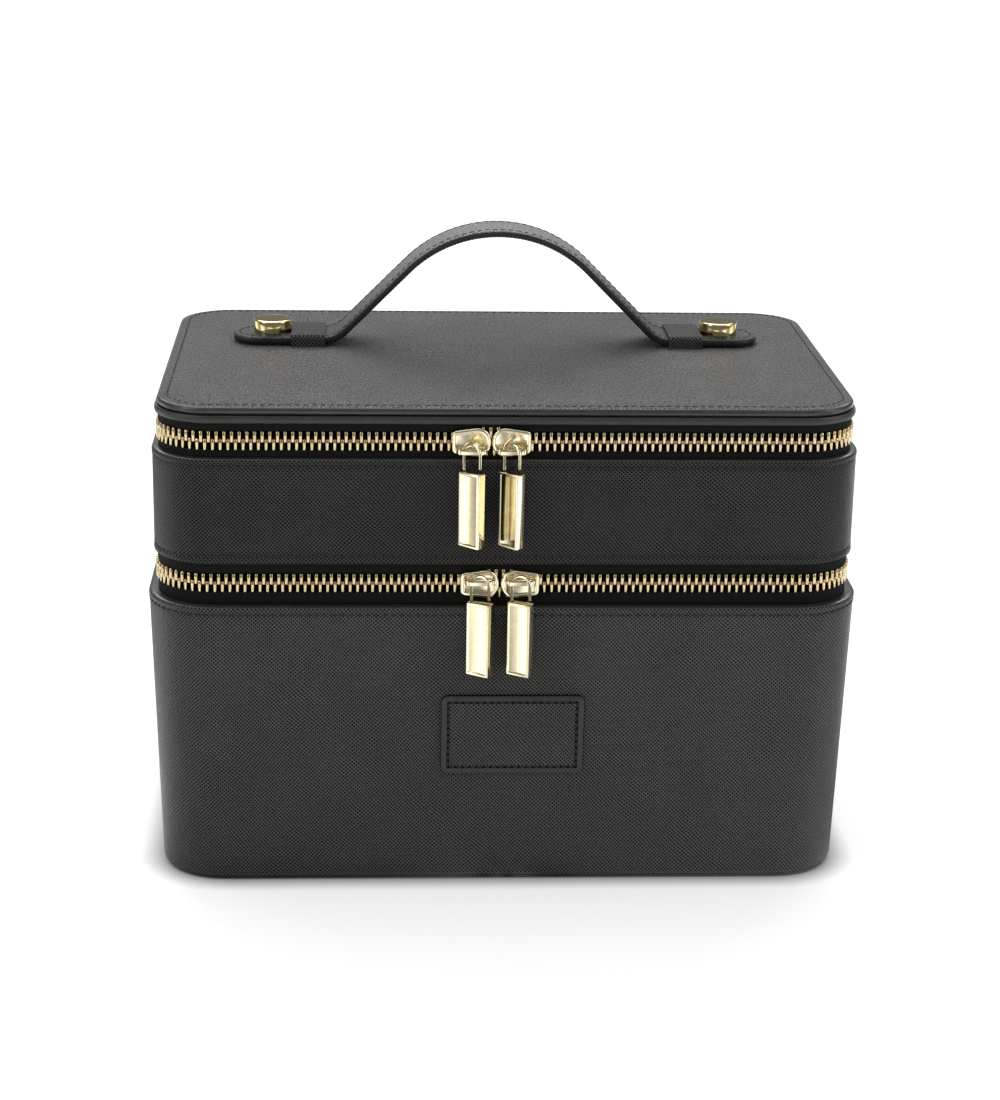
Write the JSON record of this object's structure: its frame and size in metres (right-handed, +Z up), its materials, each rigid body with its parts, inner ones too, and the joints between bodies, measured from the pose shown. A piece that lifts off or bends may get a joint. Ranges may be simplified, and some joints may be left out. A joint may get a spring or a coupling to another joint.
{
  "type": "makeup train case",
  "caption": "Box-shaped leather-covered makeup case in two zipped tiers with a hinged lid, paired zip sliders and a sliding top handle.",
  "frame": {"origin": "middle of the flat underside of the base", "axes": "+X to the right along the long side, +Y to the hinged back, +Z up"},
  "size_m": [0.23, 0.1569, 0.2004],
  "materials": {
    "saffiano_leather": "satin crosshatch grain",
    "stiffener_board": "matte",
    "lining_cloth": "plain weave",
    "zip_tape": "twill",
    "gold_metal": "polished",
    "mirror_glass": "polished"
  },
  "bodies": {
    "lower_case": {"lower_wall_leather": "saffiano_leather", "lower_wall_board": "stiffener_board", "lower_lining": "lining_cloth", "base_panel": "saffiano_leather", "base_board": "stiffener_board", "lower_floor_lining": "lining_cloth", "front_patch": "saffiano_leather", "tier_zip_lower_tape": "zip_tape", "tier_zip_lower_teeth": "gold_metal", "tier_hinge_strip": "saffiano_leather"},
    "upper_tier": {"upper_wall_leather": "saffiano_leather", "upper_wall_board": "stiffener_board", "upper_lining": "lining_cloth", "tray_board": "stiffener_board", "tray_floor_lining": "lining_cloth", "tray_underside": "lining_cloth", "tier_zip_upper_tape": "zip_tape", "tier_zip_upper_teeth": "gold_metal", "lid_zip_lower_tape": "zip_tape", "lid_zip_lower_teeth": "gold_metal", "lid_hinge_strip": "saffiano_leather"},
    "lid": {"lid_leather": "saffiano_leather", "lid_board": "stiffener_board", "lid_rim_band": "saffiano_leather", "lid_lining": "lining_cloth", "lid_mirror": "mirror_glass", "mirror_frame": "saffiano_leather", "lid_zip_upper_tape": "zip_tape", "lid_zip_upper_teeth": "gold_metal", "left_strap_keeper": "saffiano_leather", "right_strap_keeper": "saffiano_leather"},
    "handle": {"handle_grip": "saffiano_leather", "left_strap_leg": "saffiano_leather", "right_strap_leg": "saffiano_leather"},
    "left_strap_end": {"left_strap_tab": "saffiano_leather", "left_strap_stud": "gold_metal"},
    "right_strap_end": {"right_strap_tab": "saffiano_leather", "right_strap_stud": "gold_metal"},
    "tier_left_slider": {"tier_left_slider": "gold_metal"},
    "tier_left_pull": {"tier_left_pull_bail": "gold_metal", "tier_left_pull_bar": "gold_metal"},
    "tier_right_slider": {"tier_right_slider": "gold_metal"},
    "tier_right_pull": {"tier_right_pull_bail": "gold_metal", "tier_right_pull_bar": "gold_metal"},
    "lid_left_slider": {"lid_left_slider": "gold_metal"},
    "lid_left_pull": {"lid_left_pull_bail": "gold_metal", "lid_left_pull_bar": "gold_metal"},
    "lid_right_slider": {"lid_right_slider": "gold_metal"},
    "lid_right_pull": {"lid_right_pull_bail": "gold_metal", "lid_right_pull_bar": "gold_metal"}
  },
  "joints": [
    {"name": "tier_hinge", "type": "hinge", "parent": "lower_case", "child": "upper_tier", "pos_m": [0, 0.07161, 0.1024], "axis": [-1, 0, 0], "range_deg": [0, 95], "deforming": ["tier_hinge_strip", "tier_zip_lower_teeth", "tier_zip_upper_teeth"]},
    {"name": "lid_hinge", "type": "hinge", "parent": "upper_tier", "child": "lid", "pos_m": [0, 0.07061, 0.1506], "axis": [-1, 0, 0], "range_deg": [0, 100], "deforming": ["lid_hinge_strip", "lid_zip_lower_teeth", "lid_zip_upper_teeth"]},
    {"name": "handle_lift", "type": "slide", "parent": "lid", "child": "handle", "axis": [0, 0, -1], "range_m": [0, 0.024], "deforming": ["left_strap_leg", "right_strap_leg"]},
    {"name": "left_strap_slide", "type": "slide", "parent": "handle", "child": "left_strap_end", "axis": [-0.4321, 0, 0.9018], "range_m": [0, 0.02662]},
    {"name": "right_strap_slide", "type": "slide", "parent": "handle", "child": "right_strap_end", "axis": [0.4321, 0, 0.9018], "range_m": [0, 0.02662]},
    {"name": "tier_left_slide", "type": "slide", "parent": "lower_case", "child": "tier_left_slider", "axis": [-1, 0, 0], "range_m": [0, 0.078]},
    {"name": "tier_left_pull_swing", "type": "hinge", "parent": "tier_left_slider", "child": "tier_left_pull", "pos_m": [-0.0088, -0.07687, 0.1044], "axis": [-1, 0, 0], "range_deg": [0, 110]},
    {"name": "tier_right_slide", "type": "slide", "parent": "lower_case", "child": "tier_right_slider", "axis": [1, 0, 0], "range_m": [0, 0.082]},
    {"name": "tier_right_pull_swing", "type": "hinge", "parent": "tier_right_slider", "child": "tier_right_pull", "pos_m": [0.0041, -0.07687, 0.1044], "axis": [-1, 0, 0], "range_deg": [0, 110]},
    {"name": "lid_left_slide", "type": "slide", "parent": "upper_tier", "child": "lid_left_slider", "axis": [-1, 0, 0], "range_m": [0, 0.075]},
    {"name": "lid_left_pull_swing", "type": "hinge", "parent": "lid_left_slider", "child": "lid_left_pull", "pos_m": [-0.0119, -0.07587, 0.1471], "axis": [-1, 0, 0], "range_deg": [0, 110]},
    {"name": "lid_right_slide", "type": "slide", "parent": "upper_tier", "child": "lid_right_slider", "axis": [1, 0, 0], "range_m": [0, 0.086]},
    {"name": "lid_right_pull_swing", "type": "hinge", "parent": "lid_right_slider", "child": "lid_right_pull", "pos_m": [0.0006, -0.07587, 0.1471], "axis": [-1, 0, 0], "range_deg": [0, 110]}
  ],
  "couplings": [
    {"joint": "left_strap_slide", "follows": "handle_lift", "ratio": 1.1089},
    {"joint": "right_strap_slide", "follows": "handle_lift", "ratio": 1.1089}
  ]
}
